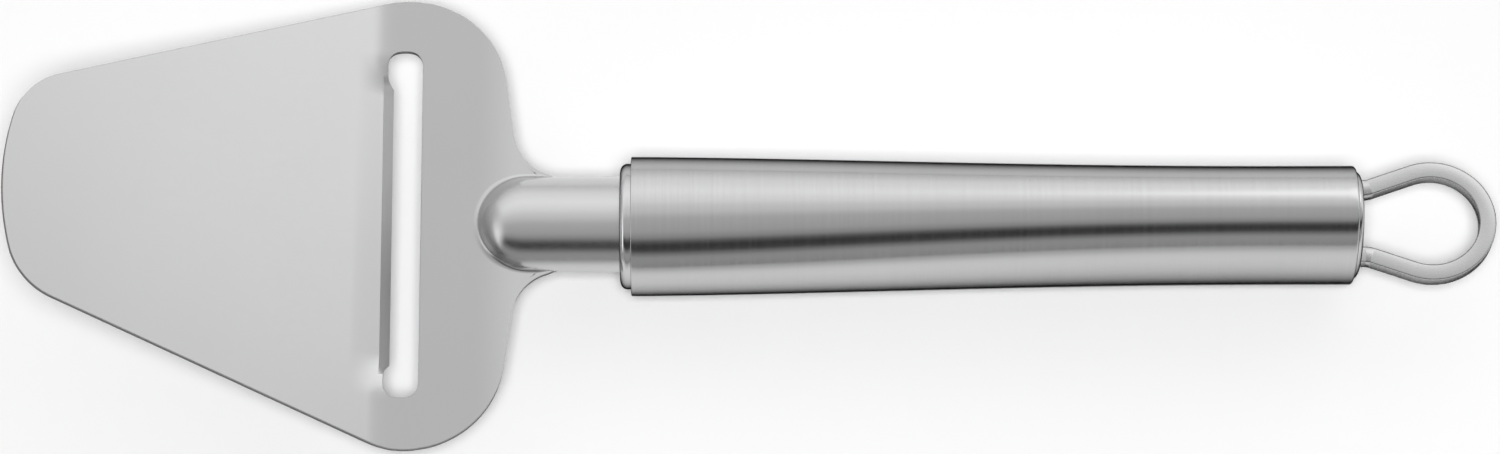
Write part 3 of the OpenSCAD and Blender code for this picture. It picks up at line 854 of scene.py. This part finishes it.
def bentBarTree():
    tree, given, out = newTree("bentBar", {
        "barWidth": "Float", "barHeight": "Float", "edgeRadius": "Float", "steel": "Material"})
    level = addNode(tree, "GeometryNodeSetCurveNormal", {"mode": "Z_UP"}, {
        "Curve": given["Geometry"]})
    shape = addNode(tree, "GeometryNodeCurvePrimitiveQuadrilateral", {}, {
        "Width": given["barWidth"], "Height": given["barHeight"]})
    soft = addNode(tree, "GeometryNodeFilletCurve", {}, {
        "Curve": shape.outputs[0], "Radius": given["edgeRadius"]})
    bar = addNode(tree, "GeometryNodeCurveToMesh", {}, {
        "Curve": level.outputs[0], "Profile Curve": soft.outputs[0], "Fill Caps": True})
    finishTree(tree, bar.outputs[0], given["steel"], out)
    return tree


hangingLoop = runTree(curveObject("loopPath", loopPath(loop), False), bentBarTree(), {
    "barWidth": loop["barW"] * mm, "barHeight": loop["barH"] * mm, "edgeRadius": loop["edge"] * mm,
    "steel": loopSteel}, "hangingLoop")
hangingLoop = weightNormals(hangingLoop)
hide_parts("hanging_loop")
print("loop:", len(hangingLoop.data.polygons), "faces")

for piece in (slicerBlade, handleTube, frontCapPiece, rearCapPiece, hangingLoop):
    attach(piece, "root")


# floor and light

studio = {
    "floorHalf": 4.0, "floorDrop": 0.0001, "floorRough": 0.9,           # metres
    # painted shade: the floor greys in front of the picture, so that the handle mirrors a darker
    # floor
    "floorTone": 0.95, "paintedShadeTone": 0.6, "paintedShadeFrom": (-0.036, -0.2),
    "worldPeak": 1.3,                                                   # tone at the ramp's white
    "tipTone": 1.2, "tipSlope": 1.5, "tipLeast": 0.3, "tipFrom": (-0.72, -0.94),
    "wallsOnFloor": 0.42}

# tone of the studio round the handle's axis: angle from straight up, + is away from the camera
studioTones = [
    (-90, 0.34), (-78, 0.43), (-72, 0.44), (-65, 0.26), (-59, 0.06), (-50, 0.04), (-43, 0.14),
    (-37, 0.4), (-25, 0.55), (-8, 0.6), (12, 0.88), (30, 1.12), (44, 1.24), (62, 1.14), (90, 0.84)]


def paperFloor(d):
    half, z = d["floorHalf"], -d["floorDrop"]
    mesh = bpy.data.meshes.new("floor")
    mesh.from_pydata([(-half, -half, z), (half, -half, z), (half, half, z), (-half, half, z)],
                     [], [(0, 1, 2, 3)])
    mat = bpy.data.materials.new("floorPaper")
    mat.use_nodes = True
    tree = mat.node_tree
    paper = tree.nodes["Principled BSDF"]
    # white under the slicer, and slowly greyer in front of the picture, where the handle mirrors
    # it: painted shade on the floor, standing in for the shaded floor that the handle reflects
    place = addNode(tree, "ShaderNodeTexCoord").outputs["Object"]
    back = splitXYZ(tree, place)[1]
    tone = mapRange(tree, back, d["paintedShadeFrom"], (d["floorTone"], d["paintedShadeTone"]), soft=True)
    tree.links.new(tone, paper.inputs["Base Color"])
    paper.inputs["Roughness"].default_value = d["floorRough"]
    paper.inputs["Specular IOR Level"].default_value = 0.0
    mesh.materials.append(mat)
    return linkObject("floor", mesh)


floor = paperFloor(studio)


def studioWorld(d, tones):
    world = bpy.data.worlds.new("studio")
    world.use_nodes = True
    sky = world.node_tree
    facing = splitXYZ(sky, addNode(sky, "ShaderNodeTexCoord").outputs["Generated"])
    lean = calc(sky, "ARCTAN2", facing[1], facing[2])
    spread = mapRange(sky, lean, (-math.pi / 2, math.pi / 2), (0.0, 1.0))
    ramp = addNode(sky, "ShaderNodeValToRGB", {}, {0: spread})
    ramp.color_ramp.interpolation = "EASE"
    stops = ramp.color_ramp.elements
    while len(stops) > 1:
        stops.remove(stops[-1])
    for k, (angle, tone) in enumerate(tones):
        at = (angle + 90) / 180
        stop = stops[0] if k == 0 else stops.new(at)
        stop.position = at
        stop.color = grey(tone / d["worldPeak"])
    walls = calc(sky, "MULTIPLY", ramp.outputs[0], d["worldPeak"])
    # beyond the tip there is no dark band, and the near side is the brighter one
    sloped = calc(sky, "MULTIPLY_ADD", facing[1], -d["tipSlope"], d["tipTone"])
    beyondTip = calc(sky, "MAXIMUM", sloped, d["tipLeast"])
    tipShare = mapRange(sky, facing[0], d["tipFrom"], (0.0, 1.0), soft=True)
    around = addNode(sky, "ShaderNodeMix", {"data_type": "FLOAT"}, {
        0: tipShare, 2: walls, 3: beyondTip})
    # the lamp lights the floor more than the studio's walls do
    path = addNode(sky, "ShaderNodeLightPath")
    level = calc(sky, "MULTIPLY_ADD", path.outputs["Is Diffuse Ray"], d["wallsOnFloor"] - 1, 1.0)
    back = sky.nodes["Background"]
    back.inputs["Color"].default_value = grey(1.0)
    sky.links.new(calc(sky, "MULTIPLY", around.outputs[0], level), back.inputs["Strength"])
    return world


bpy.context.scene.world = studioWorld(studio, studioTones)


def softbox(name, d):
    # a flat lamp whose face has one tone, turned towards a point
    data = bpy.data.lights.new(name, "AREA")
    data.shape = "RECTANGLE"
    data.size, data.size_y = d["size"]
    data.energy = d["tone"] * math.pi * d["size"][0] * d["size"][1]
    lamp = linkObject(name, data)
    lamp.location = d["at"]
    lamp.rotation_mode = "QUATERNION"
    lamp.rotation_quaternion = (Vector(d["aim"]) - lamp.location).to_track_quat("-Z", "Y")
    lamp.visible_glossy = d["inMetal"]


# over the camera's shoulder, so that its shadows hide behind the slicer
softbox("mainLamp", {
    "at": (0.0, -0.4635, 1.4265), "aim": (0.0, 0.0, 0.0), "size": (0.32, 0.32), "tone": 50.0,
    "inMetal": False})
# seen in the front plate, with an edge that fades towards the plate's near side
softbox("plateBox", {
    "at": (0.274, 0.325, 0.42), "aim": (-0.085, 0.0, 0.028), "size": (0.35, 0.3), "tone": 0.42,
    "inMetal": True})
print("studio lit")


# camera: nearly overhead, leaning from the vertical towards the slicer's near side

view = {
    "distance": 1010.0, "lean": 18.0, "roll": -0.0017,      # mm, degrees, radians
    "focal": 149.56, "sensor": 36.0, "clip": (0.05, 20.0),
    "aimX": -1.095, "nudge": (-0.081, -0.089)}              # mm

cameraData = bpy.data.cameras.new("camera")
cameraData.sensor_width = view["sensor"]
cameraData.lens = view["focal"]
cameraData.clip_start, cameraData.clip_end = view["clip"]
camera = linkObject("camera", cameraData)
camera.rotation_mode = "QUATERNION"
toCamera = Vector((0.0, -sinD(view["lean"]), cosD(view["lean"])))
turn = (-toCamera).to_track_quat("-Z", "Y") @ Quaternion((0, 0, 1), view["roll"])
camera.rotation_quaternion = turn
aim = Vector((view["aimX"], 0.0, axisZ)) * mm
camera.location = aim + toCamera * view["distance"] * mm + turn @ Vector((*view["nudge"], 0.0)) * mm
bpy.context.scene.camera = camera
bpy.context.scene.view_settings.view_transform = "Standard"
print("camera set")
